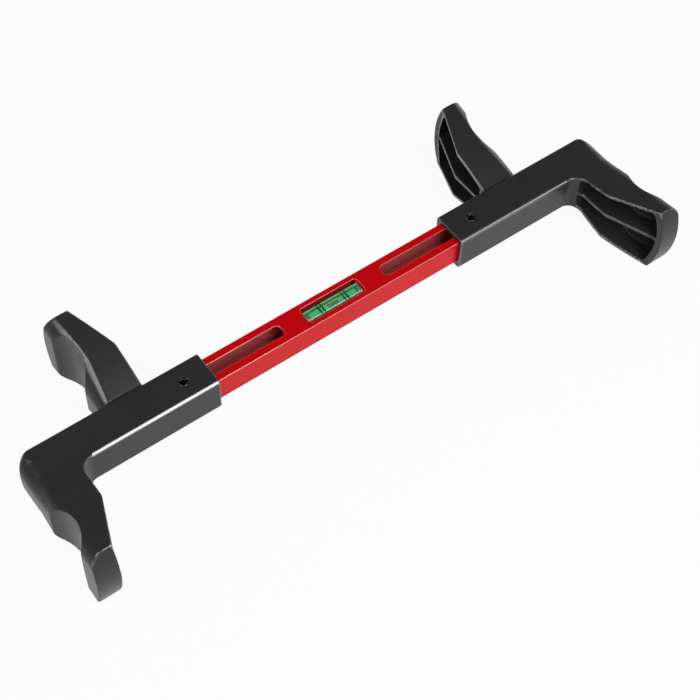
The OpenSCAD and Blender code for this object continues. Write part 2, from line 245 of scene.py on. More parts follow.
# Turned pieces and wire: points along a profile, sides round it, and the eased ends of bubble and plugs
PROFILE_POINTS = 41
LIQUID_SIDES = 64
SMALL_SIDES = 48
WIRE_RINGS = 32
WIRE_SIDES = 10
BUBBLE_POLE = 0.04
BUBBLE_MIDDLE = 0.02
PLUG_FLAT_R = 0.3
PLUG_EASE_DEPTH = (0.0, 0.0, 0.1, 0.3)
PLUG_EASE_IN = (0.35, 0.1, 0.0)

# Search for a skin: steps for the slope and the edge value, and limits of each move onto the surface
SLOPE_STEP = 0.02
EDGE_STEP = 0.12
SHARPEST = 2.0
MOVES = 4
LARGEST_MOVE = 0.35
LEAST_SLOPE = 0.2
TINY = 1e-6

# The range that a noise mostly keeps to
NOISE_LOW = 0.3
NOISE_HIGH = 0.7


# Fields

def both(a, b, r):
    """Where two solids overlap, with the edge between them rounded to radius r."""
    return np.minimum(-r, np.maximum(a, b)) + np.hypot(np.maximum(r + a, 0), np.maximum(r + b, 0))


def joined(a, b, r):
    """Two solids together, with the corner between them filled to radius r."""
    return np.maximum(r, np.minimum(a, b)) - np.hypot(np.maximum(r - a, 0), np.maximum(r - b, 0))


def bevelled(a, b, leg, r):
    """Where two solids overlap, with the edge cut flat by a leg on each and eased to radius r."""
    return both(np.maximum(a, b), (a + b + leg) / math.sqrt(2), r)


def eased(v, start, end):
    """Smooth step from 0 at start to 1 at end."""
    t = np.clip((v - start) / (end - start), 0, 1)
    return t * t * (3 - 2 * t)


def round_oblong(u, v, half_u, half_v, r):
    """Rectangle with round corners in the plane of u and v."""
    return both(np.abs(u) - half_u, np.abs(v) - half_v, r)


def bar_field(x, y, z):
    """Square tube less its bore, the two slots through top and bottom, and the window in the top."""
    f = round_oblong(y, z, BAR_W / 2, BAR_W / 2, BAR_EDGE_R)
    f = both(f, np.abs(x) - BAR_END, RIM_R)
    f = both(f, BAR_IN - np.maximum(np.abs(y), np.abs(z)), RIM_R)
    slot_mid = (SLOT_IN + SLOT_OUT) / 2
    slot = round_oblong(np.abs(x) - slot_mid, y, (SLOT_OUT - SLOT_IN) / 2, SLOT_W / 2, SLOT_R)
    window = np.maximum(round_oblong(x, y, WINDOW_L / 2, WINDOW_W / 2, WINDOW_R), -z)
    return both(both(f, -slot, RIM_R), -window, RIM_R)


def swelled_in(z):
    """How far the outer end falls in at a height: an arc about the middle, held beyond its two reaches."""
    return np.clip(z - SWELL_Z, SWELL_LOW, SWELL_HIGH) ** 2 / (2 * SWELL_R)


def arm_field(x, y, z, arm):
    """One hollow arm, as the far arm stands: reaching to +y, arched side up and straight side down.

    The far arm's outer wall is upright and flares out from the root, and its shoulder meets the arched side
    in a crease. The near arm's is swelled as the sleeve's end is, less so towards the seat. The inner side
    is a bent line in plan, faired at the bend and filled to the sleeve at the root. The pad is a drum on x,
    the seat an upright drum, and a rib at mid height splits the hollow.
    """
    x_out = arm["x_out"]
    seat_y = arm["seat_y"]
    x_in = x_out - arm["root_w"]
    x_pad = x_out - arm["tip_w"]
    root_end = ARM_START + arm["root_r"]
    arched = np.hypot(y - ARCH_Y, z - ARCH_Z) - ARCHED_R
    straight = -(z + ARM_TOP) * math.cos(RISE) - (y - CREASE_Y) * math.sin(RISE)
    pad = np.hypot(y - (ARM_REACH - TIP_R), z - TIP_Z) - TIP_R
    swell = arm["swell"] * (1 - (1 - SWELL_KEPT) * eased(y, ARM_START, seat_y - SWELL_FADE))
    wall = x - x_out + swell * swelled_in(-z) + arm["flare"] * (1 - eased(y, 0, FLARE_END))
    seat = np.hypot(x - (x_out - SEAT_DEPTH + SEAT_R), y - seat_y)
    corner_y = [0.0, root_end, arm["bend_y"], PAD_Y, ARM_REACH]
    corner_x = [x_in, x_in, x_out - arm["bend_w"], x_pad, x_pad]

    def inner_line(at):
        places = [np.interp(at + BEND_REACH * k, corner_y, corner_x) for k in BEND_STEPS]
        return sum(places) / len(places)

    slope = (inner_line(y + 1) - inner_line(y - 1)) / 2
    inner = (inner_line(y) - x) / np.hypot(1, slope)
    if arm["flare"]:
        wide = np.interp(y, FAR_CREASE_Y, FAR_CREASE_W)
        r = CREASE_TURN * wide
        sink = np.sqrt(2 * r * wide - wide ** 2)
        upper = np.hypot(np.maximum(r + wall, 0), np.maximum(sink + arched, 0)) - r
        upper = both(arched, upper, CREASE_R)
    else:
        upper = both(arched, wall, arm["arched_r"])
    lower = both(straight, wall, arm["straight_r"])
    solid = np.maximum(upper, lower)
    rim_r = PAD_RIM_R + (LIP_R - PAD_RIM_R) * np.clip(1 + wall / SHOULDER_REACH, 0, 1) ** 2
    solid = both(solid, pad, rim_r)
    solid = both(solid, joined(inner, y - ARM_START, arm["root_r"]), HOLLOW_RIM_R)
    solid = both(solid, x_in - arm["root_r"] - x, ROOT_EASE_R)
    solid = np.maximum(solid, -y)
    solid = both(solid, SEAT_R - seat, arm["seat_rim_r"])
    above = both(upper + ARM_WALL, RIB_T / 2 - z, HOLLOW_CORNER_R)
    below = both(lower + ARM_WALL, RIB_T / 2 + z, HOLLOW_CORNER_R)
    hollow = np.minimum(above, below)
    hollow = both(hollow, pad + PAD_WALL, HOLLOW_CORNER_R)
    hollow = both(hollow, SEAT_R + ARM_WALL - seat, HOLLOW_CORNER_R)
    hollow = both(hollow, ARM_START + HOLLOW_START - y, HOLLOW_CORNER_R)
    return both(solid, -hollow, HOLLOW_RIM_R)


def moulding_field(x, y, z):
    """Right end: the sleeve with its two arms, less the cavity for the bar and the hole for the pin.

    The outer end is swelled at mid height. Over it the top and bottom edges grow from the long edges' radius
    to the shoulders', by how far the plan outline has turned to face along the bar. The near long edges are
    cut flat.
    """
    end = x - END_X + swelled_in(z)
    far_side = y - SLEEVE_W / 2
    outline = both(end, far_side, CORNER_R)
    facing_x = np.maximum(CORNER_R + end, 0) ** 2
    facing_y = np.maximum(CORNER_R + far_side, 0) ** 2
    end_r = np.where(z > 0, END_TOP_R, END_BOTTOM_R)
    edge_r = SLEEVE_EDGE_R + (end_r - SLEEVE_EDGE_R) * facing_x / (facing_x + facing_y + TINY)
    sleeve = both(outline, np.abs(z) - SLEEVE_H / 2, edge_r)
    near_side = bevelled(-y - SLEEVE_W / 2, np.abs(z) - SLEEVE_H / 2, SLEEVE_BEVEL, BEVEL_EASE_R)
    sleeve = np.maximum(sleeve, near_side)
    sleeve = both(sleeve, MOUTH_X - x, MOUTH_R)
    f = np.minimum(sleeve, arm_field(x, y, z, FAR_ARM))
    f = np.minimum(f, arm_field(x, -y, -z, NEAR_ARM))
    cavity = round_oblong(y, z, CAVITY_W / 2, CAVITY_W / 2, CAVITY_R)
    cavity = both(cavity, x - CAVITY_END, CAVITY_R)
    f = both(f, -cavity, MOUTH_R)
    f = both(f, PIN_D / 2 - np.hypot(x - PIN_X, y), PIN_HOLE_R)
    boss = both(np.hypot(y, z) - BOSS_D / 2, CAVITY_END - BOSS_L - x, BOSS_R)
    return np.minimum(f, np.maximum(boss, x - CAVITY_END - BOSS_ROOT))


def vial_field(x, y, z):
    """Clear block with round edges, less the barrel bore and the plugs' holes.

    The block lies a film lower than the index lines. The bore narrows from its middle with the square of x.
    """
    mid = (VIAL_TOP + VIAL_BOTTOM) / 2
    block = round_oblong(y, z - mid, VIAL_W / 2, (VIAL_TOP - VIAL_BOTTOM) / 2, VIAL_EDGE_R)
    block = both(block, np.abs(x) - VIAL_L / 2, VIAL_END_R) + FILM
    half = VIAL_L / 2 - VIAL_PLUG_L
    barrel_r = BORE_D / 2 - (x / half) ** 2 * (BORE_D - BARREL_END_D) / 2
    bore = np.hypot(y, z - VIAL_AXIS) - np.where(np.abs(x) < half, barrel_r, PLUG_D / 2)
    return np.maximum(block, -bore)


def pin_field(x, y, z):
    """Rolled pin: an upright tube split along the side that faces the bar's middle, with eased ends."""
    around = np.hypot(x - PIN_X, y)
    f = both(around - PIN_D / 2, np.abs(z) - PIN_HALF, PIN_END_R)
    f = both(f, PIN_D / 2 - PIN_WALL - around, PIN_BORE_R)
    split = np.maximum(np.abs(y) - PIN_GAP / 2, x - PIN_X)
    return both(f, -split, PIN_GAP_R)


# Skins and meshes

def ruler(*stretches):
    """Places along one axis: each stretch of (from, to, step) is shared out evenly, and they join up."""
    parts = [np.linspace(a, b, max(2, round((b - a) / step) + 1)) for a, b, step in stretches]
    return np.unique(np.round(np.concatenate(parts), 5))


def both_ways(*stretches):
    """The same stretches on both sides of zero."""
    return [(-b, -a, step) for a, b, step in stretches] + list(stretches)


def skin(field, xs, ys, zs):
    """Points, quads, normals and edge values of the field's zero surface.

    Every cell that the surface crosses gets one point, the mean of the crossings on its edges. Every grid
    edge that crosses the surface gets one quad through the four cells round it. Each point is then moved
    along the field's slope onto the zero surface. The slope there is the normal, and how fast it spreads is
    the edge value.
    """
    axes = (xs, ys, zs)
    values = field(*np.meshgrid(*axes, indexing="ij"))
    inside = values < 0
    shape = tuple(len(a) - 1 for a in axes)
    corners = [(i, j, k) for i in (0, 1) for j in (0, 1) for k in (0, 1)]
    filled = sum(
        inside[i:i + shape[0], j:j + shape[1], k:k + shape[2]].astype(np.int8) for i, j, k in corners)
    cells = np.argwhere((filled > 0) & (filled < 8))
    total = np.zeros((len(cells), 3))
    count = np.zeros(len(cells))
    for a in corners:
        for b in corners:
            if sum(b) - sum(a) != 1 or any(q < p for p, q in zip(a, b)):
                continue
            low = cells + a
            high = cells + b
            fa = values[tuple(low.T)]
            fb = values[tuple(high.T)]
            crossed = (fa < 0) != (fb < 0)
            t = np.where(crossed, fa / np.where(crossed, fa - fb, 1), 0)[:, None]
            pa = np.stack([axis[low[:, n]] for n, axis in enumerate(axes)], axis=1)
            pb = np.stack([axis[high[:, n]] for n, axis in enumerate(axes)], axis=1)
            total += np.where(crossed[:, None], pa + t * (pb - pa), 0)
            count += crossed
    points = total / count[:, None]
    number = np.full(shape, -1)
    number[tuple(cells.T)] = np.arange(len(cells))
    quads = []
    for n in range(3):
        second, third = (n + 1) % 3, (n + 2) % 3
        start = np.take(inside, range(shape[n]), axis=n)
        stop = np.take(inside, range(1, shape[n] + 1), axis=n)
        at = np.argwhere(start != stop)
        room = (at[:, second] > 0) & (at[:, second] < shape[second])
        room &= (at[:, third] > 0) & (at[:, third] < shape[third])
        at = at[room]
        leaves = start[tuple(at.T)]
        ring = []
        for p, q in ((1, 1), (0, 1), (0, 0), (1, 0)):
            cell = at.copy()
            cell[:, second] -= p
            cell[:, third] -= q
            ring.append(number[tuple(cell.T)])
        ring = np.stack(ring, axis=1)
        quads.append(np.where(leaves[:, None], ring, ring[:, ::-1]))
    quads = np.concatenate(quads)

    def beside(p, h):
        ahead = [field(*(p + h * np.eye(3)[n]).T) for n in range(3)]
        behind = [field(*(p - h * np.eye(3)[n]).T) for n in range(3)]
        return np.stack(ahead, axis=1), np.stack(behind, axis=1)

    for _ in range(MOVES):
        ahead, behind = beside(points, SLOPE_STEP)
        g = (ahead - behind) / (2 * SLOPE_STEP)
        f = field(*points.T)
        move = g * (f / np.maximum((g * g).sum(axis=1), LEAST_SLOPE))[:, None]
        points = points - np.clip(move, -LARGEST_MOVE, LARGEST_MOVE)
    ahead, behind = beside(points, EDGE_STEP)
    normals = ahead - behind
    normals /= np.maximum(np.linalg.norm(normals, axis=1), TINY)[:, None]
    spread = ((ahead + behind).sum(axis=1) - 6 * field(*points.T)) / EDGE_STEP ** 2
    return points, quads, normals, np.clip(spread, 0, SHARPEST) / SHARPEST


def mesh_of(name, points, quads, normals=None, edge=None, caps=()):
    """Mesh object from arrays in millimetres, shaded smooth, with normals and an edge value per point."""
    mesh = bpy.data.meshes.new(name)
    mesh.from_pydata(points * MM, [], [*quads.tolist(), *caps])
    mesh.polygons.foreach_set("use_smooth", np.ones(len(mesh.polygons), dtype=bool))
    if edge is not None:
        layer = mesh.attributes.new("edge", "FLOAT", "POINT")
        layer.data.foreach_set("value", edge.astype(np.float32))
    mesh.update()
    if normals is not None:
        mesh.normals_split_custom_set_from_vertices(normals)
    piece = bpy.data.objects.new(name, mesh)
    bpy.context.scene.collection.objects.link(piece)
    return piece


def mirrored(points, quads, normals, edge):
    """The same skin on the other side of the bar's middle, with its faces turned to stay outwards."""
    flip = np.array([-1.0, 1.0, 1.0])
    return points * flip, quads[:, ::-1], normals * flip, edge


def tube_faces(rings, sides):
    """Quads between neighbouring closed rings of points, and a flat face at each end."""
    ring = np.arange(rings - 1)[:, None] * sides
    step = np.arange(sides)
    after = (step + 1) % sides
    quads = np.stack([ring + step, ring + after, ring + sides + after, ring + sides + step], axis=2)
    last = (rings - 1) * sides
    caps = [list(range(sides - 1, -1, -1)), list(range(last, last + sides))]
    return quads.reshape(-1, 4), caps


def turned(name, place, radius, sides, axis_z):
    """Profile of places and radii carried once round an axis along x, closed by a flat face at each end."""
    angle = np.arange(sides) * 2 * np.pi / sides
    r = np.asarray(radius)[:, None]
    x = np.repeat(np.asarray(place)[:, None], sides, axis=1)
    points = np.stack([x, r * np.cos(angle), axis_z + r * np.sin(angle)], axis=2).reshape(-1, 3)
    quads, caps = tube_faces(len(place), sides)
    return mesh_of(name, points, quads, caps=caps)


def coil(name, side):
    """Round wire carried along a helix on x, with a closed turn at each end and open turns between.

    The rings run the other way round on the right, so the faces are turned there to point outwards.
    """
    sides = WIRE_SIDES
    turn = np.linspace(0, SPRING_TURNS, SPRING_TURNS * WIRE_RINGS + 1)
    open_pitch = (SPRING_TO - SPRING_FROM - WIRE_D - 2 * CLOSED_PITCH) / (SPRING_TURNS - 2)
    place = SPRING_FROM + WIRE_D / 2 + np.minimum(turn, 1) * CLOSED_PITCH
    place = place + np.clip(turn - 1, 0, SPRING_TURNS - 2) * open_pitch
    place = place + np.maximum(turn - SPRING_TURNS + 1, 0) * CLOSED_PITCH
    a = (turn * 2 * np.pi)[:, None]
    b = np.arange(sides) * 2 * np.pi / sides
    r = (SPRING_D - WIRE_D) / 2 + WIRE_D / 2 * np.cos(b)
    x = side * (place[:, None] + WIRE_D / 2 * np.sin(b))
    points = np.stack([x, r * np.cos(a), r * np.sin(a)], axis=2).reshape(-1, 3)
    quads, caps = tube_faces(len(turn), sides)
    if side > 0:
        quads = quads[:, ::-1]
        caps = [cap[::-1] for cap in caps]
    return mesh_of(name, points, quads, caps=caps)


# Finishes

class Finish:
    """A material with one principled shader, and short ways to add the nodes that vary it."""

    def __init__(self, name):
        self.material = bpy.data.materials.new(name)
        self.material.use_nodes = True
        self.tree = self.material.node_tree
        self.shader = self.tree.nodes["Principled BSDF"]
        self.place = self.node("ShaderNodeTexCoord").outputs["Object"]

    def node(self, kind, **inputs):
        """New node with its sockets given by name."""
        made = self.tree.nodes.new(kind)
        for key, value in inputs.items():
            self.give(made, key, value)
        return made

    def give(self, made, key, value):
        """Links a socket's value or sets it."""
        socket = made.inputs[key]
        if isinstance(value, bpy.types.NodeSocket):
            self.tree.links.new(value, socket)
        else:
            socket.default_value = value

    def plain(self, **values):
        """Shader values that are the same all over."""
        for key, value in values.items():
            self.shader.inputs[key.replace("_", " ")].default_value = value

    def mapped(self, scale):
        """Place on the piece, stretched by a scale on each axis."""
        made = self.node("ShaderNodeMapping", Vector=self.place)
        made.inputs["Scale"].default_value = scale
        return made.outputs["Vector"]

    def along(self, axis):
        """Place on the piece along one axis, in metres."""
        return self.node("ShaderNodeSeparateXYZ", Vector=self.place).outputs[axis]

    def noise(self, scale, detail=3.0, stretch=(1, 1, 1)):
        """Noise with its scale per metre."""
        made = self.node("ShaderNodeTexNoise", Vector=self.mapped(stretch), Scale=scale, Detail=detail)
        return made.outputs["Fac"]

    def worked(self, operation, *values):
        """Result of a sum on one or two values."""
        made = self.tree.nodes.new("ShaderNodeMath")
        made.operation = operation
        for n, value in enumerate(values):
            self.give(made, n, value)
        return made.outputs[0]

    def ranged(self, value, low, high, to_low, to_high):
        """Value carried from one range to another and held at its ends."""
        made = self.tree.nodes.new("ShaderNodeMapRange")
        self.tree.links.new(value, made.inputs[0])
        for n, number in enumerate((low, high, to_low, to_high)):
            made.inputs[n + 1].default_value = number
        return made.outputs[0]

    def blend(self, share, a, b):
        """Colour between two, by a share."""
        made = self.tree.nodes.new("ShaderNodeMix")
        made.data_type = "RGBA"
        self.tree.links.new(share, made.inputs[0])
        for socket, value in ((made.inputs[6], a), (made.inputs[7], b)):
            if isinstance(value, bpy.types.NodeSocket):
                self.tree.links.new(value, socket)
            else:
                socket.default_value = (*value, 1)
        return made.outputs[2]

    def edge(self):
        """The piece's own edge value."""
        made = self.tree.nodes.new("ShaderNodeAttribute")
        made.attribute_name = "edge"
        return made.outputs["Fac"]

    def rough(self, grain, low, high):
        """Roughness that follows a noise from low to high."""
        self.set("Roughness", self.ranged(grain, NOISE_LOW, NOISE_HIGH, low, high))

    def bump(self, height, depth, strength):
        """Bump with its depth in metres."""
        made = self.node("ShaderNodeBump", Height=height, Distance=depth, Strength=strength)
        self.give(self.shader, "Normal", made.outputs["Normal"])

    def set(self, key, value):
        """Links one of the shader's sockets."""
        self.give(self.shader, key, value)


def moulded_black():
    """Black plastic with a fine spark grain, with a painted highlight and a glossy coat along its edges."""
    m = Finish("moulded_black")
    m.plain(Specular_IOR_Level=0.28, Coat_IOR=2.2, Coat_Roughness=0.22)
    cloud = m.noise(45, 4)
    base = m.blend(cloud, (0.0235, 0.0235, 0.024), (0.0305, 0.0305, 0.031))
    # Painted highlight: the base is lightened towards grey along the edges, and the coat follows the same
    # share
    edge_highlight = m.ranged(m.edge(), 0.15, 0.5, 0.0, 1.0)
    m.set("Base Color", m.blend(edge_highlight, base, (0.04, 0.04, 0.041)))
    m.set("Coat Weight", edge_highlight)
    m.rough(m.noise(900, 2), 0.30, 0.40)
    m.bump(m.noise(1500, 2), 0.00012, 0.55)
    return m.material


def red_coat():
    """Satin red coat on aluminium, with a faint orange peel, and a painted highlight with a glossy coat
    along the rims.
    """
    m = Finish("red_coat")
    m.plain(Specular_IOR_Level=0.15, Coat_IOR=2.2, Coat_Roughness=0.2)
    cloud = m.noise(30, 3)
    base = m.blend(cloud, (0.59, 0.0002, 0.003), (0.65, 0.0004, 0.004))
    # Painted highlight: the rims' colour is lifted towards pink, and the coat follows the same share
    edge_highlight = m.ranged(m.edge(), 0.25, 0.8, 0.0, 0.9)
    m.set("Base Color", m.blend(edge_highlight, base, (0.66, 0.10, 0.09)))
    m.set("Coat Weight", edge_highlight)
    m.rough(m.noise(500, 2), 0.30, 0.40)
    m.bump(m.noise(420, 2), 0.00012, 0.2)
    return m.material


def tube_inside():
    """Dull aluminium inside the tube, drawn along the bar and misted with red."""
    m = Finish("tube_inside")
    m.plain(Specular_IOR_Level=0.3)
    drawn = m.noise(900, 3, (0.04, 1, 1))
    m.set("Base Color", m.blend(drawn, (0.46, 0.045, 0.05), (0.60, 0.10, 0.10)))
    m.rough(drawn, 0.45, 0.6)
    m.bump(drawn, 0.0001, 0.2)
    return m.material


def vial_clear():
    """Clear block tinted green, clearest over the bore, with faint flow marks and a painted highlight along
    the near edges.
    """
    m = Finish("vial_clear")
    m.plain(IOR=1.46, Coat_Weight=1.0, Coat_IOR=1.8, Coat_Roughness=0.1)
    tint = m.blend(m.noise(160, 2), (0.15, 0.66, 0.29), (0.19, 0.74, 0.34))
    across = m.along("Y")
    near = m.ranged(across, -3.0 * MM, -2.0 * MM, 1.0, 0.0)
    # Painted highlight: a pale mint line along the near top edge
    near_edge_highlight = m.worked("MULTIPLY", m.ranged(m.edge(), 0.1, 0.6, 0.0, 1.0), near)
    m.set("Base Color", m.blend(near_edge_highlight, tint, (0.80, 1.0, 0.90)))
    off_middle = m.worked("ABSOLUTE", across)
    m.set("Alpha", m.ranged(off_middle, 2.2 * MM, 3.1 * MM, 0.2, 0.9))
    m.rough(m.noise(300, 2), 0.05, 0.12)
    return m.material


def green_spirit():
    """Bright green liquid, a little cloudy, with painted light towards its far side that makes up for the
    shade there.
    """
    m = Finish("green_spirit")
    m.plain(IOR=1.36, Specular_IOR_Level=0.5)
    green = m.blend(m.noise(260, 2), (0.10, 0.76, 0.20), (0.13, 0.86, 0.25))
    # Painted light: the far side is lightened to make up for the shade that falls there
    far = m.ranged(m.along("Y"), 0.6 * MM, 2.2 * MM, 0.0, 1.0)
    m.set("Base Color", m.blend(far, green, (0.19, 1.0, 0.34)))
    m.rough(m.noise(300, 2), 0.08, 0.16)
    return m.material


def air_bubble():
    """Bubble seen through the liquid: olive in the middle, with a painted highlight as a pale rim on its far
    side.
    """
    m = Finish("air_bubble")
    m.plain(IOR=1.33, Specular_IOR_Level=0.8)
    inside = m.blend(m.noise(900, 2), (0.03, 0.045, 0.012), (0.10, 0.10, 0.035))
    # Painted highlight: a pale rim on the bubble's far side
    far = m.ranged(m.along("Y"), 0.3 * MM, 0.9 * MM, 0.0, 1.0)
    m.set("Base Color", m.blend(far, inside, (0.85, 1.0, 0.9)))
    m.rough(m.noise(300, 2), 0.05, 0.12)
    return m.material


def index_ink():
    """Dark green-black ink in the grooves of the vial."""
    m = Finish("index_ink")
    m.plain(Specular_IOR_Level=0.3)
    m.set("Base Color", m.blend(m.noise(900, 2), (0.002, 0.02, 0.008), (0.006, 0.04, 0.016)))
    m.rough(m.noise(600, 2), 0.4, 0.6)
    return m.material


def vial_plugs():
    """Green gloss plugs at the ends of the bore, with a dark seal on their inner ends."""
    m = Finish("vial_plugs")
    m.plain(Specular_IOR_Level=0.5)
    green = m.blend(m.noise(300, 2), (0.10, 0.46, 0.18), (0.16, 0.58, 0.25))
    inner_end = VIAL_L / 2 - VIAL_PLUG_L
    start, end = [(inner_end + at) * MM for at in SEAL_FADE]
    seal = m.ranged(m.worked("ABSOLUTE", m.along("X")), start, end, 1.0, 0.0)
    m.set("Base Color", m.blend(seal, green, (0.004, 0.02, 0.01)))
    m.rough(m.noise(500, 2), 0.15, 0.3)
    return m.material


def matt_plastic(name, low, high):
    """Matt plastic of the hidden mouldings, with a fine grain."""
    m = Finish(name)
    m.plain(Specular_IOR_Level=0.3)
    m.set("Base Color", m.blend(m.noise(120, 3), low, high))
    m.rough(m.noise(800, 2), 0.5, 0.65)
    m.bump(m.noise(1300, 2), 0.0001, 0.3)
    return m.material


def steel(name, low, high, bright):
    """Steel with drawn marks, brighter along its edges."""
    m = Finish(name)
    m.plain(Metallic=1.0)
    drawn = m.noise(1400, 3, (1, 1, 0.08))
    base = m.blend(drawn, low, high)
    m.set("Base Color", m.blend(m.ranged(m.edge(), 0.35, 0.95, 0.0, 0.9), base, bright))
    m.rough(drawn, 0.28, 0.42)
    m.bump(drawn, 0.00008, 0.25)
    return m.material


def dress(piece, body, slot, material, *nodes):
    """Gives a piece its finish, hides the frame's nodes that it stands for, and makes it ride on its body.
    """
    piece.data.materials.append(material)
    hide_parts(*nodes)
    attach(piece, body)


def paint(node, material):
    """Gives a node of the frame its finish."""
    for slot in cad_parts[node].material_slots:
        slot.material = material


# Pieces

def make_bar():
    """Bar tube, finer along its rims, with dull metal on the faces of the bore."""
    ends = []
    for room, step, places in BAR_ENDS:
        ends += [(s * at - room, s * at + room, step) for s in (-1, 1) for at in places]
    ends.sort()
    stretches = list(ends)
    for (_, a, _), (b, _, _) in zip(ends, ends[1:]):
        stretches.append((a, b, BAR_PLAIN_STEP))
    xs = ruler(*stretches)
    ys = ruler(BAR_MIDDLE_Y, *both_ways(*BAR_RIMS_Y, BAR_WALLS))
    zs = ruler(BAR_MIDDLE_Z, *both_ways(BAR_WALLS))
    points, quads, normals, edge = skin(bar_field, xs, ys, zs)
    bar = mesh_of("red_tube", points, quads, normals, edge)
    dress(bar, "bar", "red_coat", red_coat(), "bar_tube")
    bar.data.materials.append(tube_inside())
    reach = np.abs(points[quads][:, :, 1:]).max(axis=(1, 2))
    bar.data.polygons.foreach_set("material_index", (reach < BORE_FACE).astype(np.int32))


def evened(quads, edge):
    """Edge values shared out once over the quads: each point takes the mean of the means of its quads."""
    mean = np.repeat(edge[quads].mean(axis=1), 4)
    corner = quads.ravel()
    total = np.bincount(corner, mean, len(edge))
    return total / np.maximum(np.bincount(corner, minlength=len(edge)), 1)


def placed_edge_highlights(points, normals, edge):
    """Edge values of the right end, which carry the painted edge highlight and the coat, set by place and
    facing.

    The sleeve's near bevels get the full painted highlight, and the far arm's shoulder half so beside its
    crease.
    The creases, the outer walls' edges, the near seat's rim, the near pad's sides and the near arm's root
    lose most of it.
    """
    x, y, z = points.T
    side, front, up = normals.T
    to_far_seat = np.hypot(x - (FAR_ARM["x_out"] - SEAT_DEPTH + SEAT_R), y - FAR_ARM["seat_y"]) - SEAT_R
    to_near_seat = np.hypot(x - (END_X - SEAT_DEPTH + SEAT_R), y + NEAR_ARM["seat_y"]) - SEAT_R
    on_far_arm = eased(y, *FAR_ARM_Y)
    shoulder = on_far_arm * eased(z, *SHOULDER_Z) * eased(x, *SHOULDER_X) * eased(to_far_seat, *SEAT_FADE)
    far_wall = on_far_arm * eased(x, *FAR_WALL_X)
    near_seat = 1 - eased(to_near_seat, *SEAT_FADE)
    near_tip = eased(-y, *NEAR_TIP_Y)
    pad_outside = near_tip * eased(x, *PAD_OUTSIDE_X) * (1 - eased(z, *PAD_OUTSIDE_Z))
    pad_inside = near_tip * (1 - eased(x, *PAD_INSIDE_X)) * (1 - eased(z, *PAD_INSIDE_Z))
    root_step = (1 - eased(np.abs(y - STEP_MID_Y), *STEP_FADE_Y)) * eased(z, *STEP_FADE_Z)
    root_step = root_step * (1 - eased(np.abs(x - ROOT_X), *STEP_FADE_X))
    root_rim = eased(-y, *ROOT_RIM_FROM) * (1 - eased(-y, *ROOT_RIM_TO))
    root_rim = root_rim * (1 - eased(np.abs(z), *ROOT_RIM_Z)) * (1 - eased(x, *ROOT_RIM_X))
    corner = eased(x, *END_CORNER_X) * eased(y, *END_CORNER_Y)
    places = [shoulder, far_wall, near_seat, pad_outside, pad_inside, root_step, root_rim, corner]
    dull = np.max(places, axis=0)
    beside_crease = shoulder * eased(side, *CREASE_FACING_SIDE) * np.interp(up, CREASE_FACING_UP, (0, 1))
    # Painted highlight: edge values are cut at the dull places, raised beside the far crease and set full on
    # the near bevels
    edge = np.maximum(edge * (1 - HIGHLIGHT_OFF_SHARE * dull), CREASE_SHINE * beside_crease)
    bevel = (np.abs(y + SLEEVE_W / 2) < BEVEL_REACH) & (x < BEVEL_END_X)
    bevel = bevel & (front < -BEVEL_FACING) & (np.abs(up) > BEVEL_FACING)
    return np.where(bevel, 1.0, edge)


def make_ends():
    """The two end mouldings: one skin, and its mirror image."""
    ys = ruler(END_MIDDLE_Y, *both_ways(END_ARMS_Y))
    points, quads, normals, edge = skin(moulding_field, ruler(*END_GRID_X), ys, ruler(END_GRID_Z))
    right = (points, quads, normals, placed_edge_highlights(points, normals, evened(quads, edge)))
    material = moulded_black()
    for side, shape in (("right", right), ("left", mirrored(*right))):
        piece = mesh_of(side + "_moulding", *shape)
        dress(piece, side + "_end", "black_moulding", material, side + "_end_arms")


def make_pins():
    """The two rolled pins."""
    zs = ruler(PIN_MIDDLE_Z, *both_ways(PIN_ENDS_Z))
    right = skin(pin_field, ruler(PIN_GRID_X), ruler(PIN_GRID_Y), zs)
    material = steel("pin_steel", (0.02, 0.02, 0.022), (0.035, 0.035, 0.038), (0.16, 0.16, 0.165))
    for side, shape in (("right", right), ("left", mirrored(*right))):
        piece = mesh_of(side + "_pin", *shape)
        dress(piece, side + "_end", "pin_steel", material, side + "_roll_pin")


def make_springs():
    """The two springs, which ride on the bar."""
    material = steel("spring_wire", (0.42, 0.42, 0.44), (0.6, 0.6, 0.62), (0.7, 0.7, 0.72))
    for name, side in (("right", 1), ("left", -1)):
        piece = coil(name + "_coil", side)
        dress(piece, "bar", "spring_wire", material, name + "_spring")
        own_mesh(piece)


